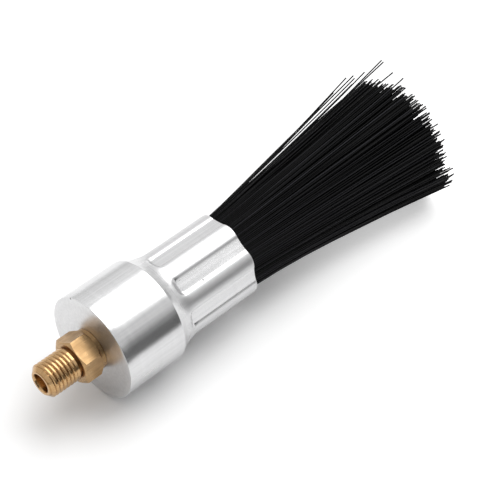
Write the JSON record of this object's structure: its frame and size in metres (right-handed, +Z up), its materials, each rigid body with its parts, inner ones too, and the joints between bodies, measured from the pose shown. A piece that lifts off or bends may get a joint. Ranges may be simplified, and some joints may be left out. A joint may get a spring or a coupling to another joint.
{
  "type": "lubricating brush",
  "caption": "Round lubricating brush: black bristles crimped into a fluted aluminium body, with a bored brass stud and hexagon that feed oil or grease through it.",
  "frame": {"origin": "on the floor under the middle of the brush's length, with the brush lying on its side", "axes": "+X along the brush's axis from the brass inlet towards the bristles, +Z up; the axis is 12.6 mm above the floor"},
  "size_m": [0.116, 0.0337, 0.0295],
  "materials": {
    "stud_brass": "turned, bright",
    "body_aluminium": "turned, bright",
    "bristle_nylon": "satin nylon filament"
  },
  "bodies": {
    "root": {"inlet_stud": "stud_brass", "crimped_body": "body_aluminium", "bristles": "bristle_nylon"}
  },
  "joints": []
}
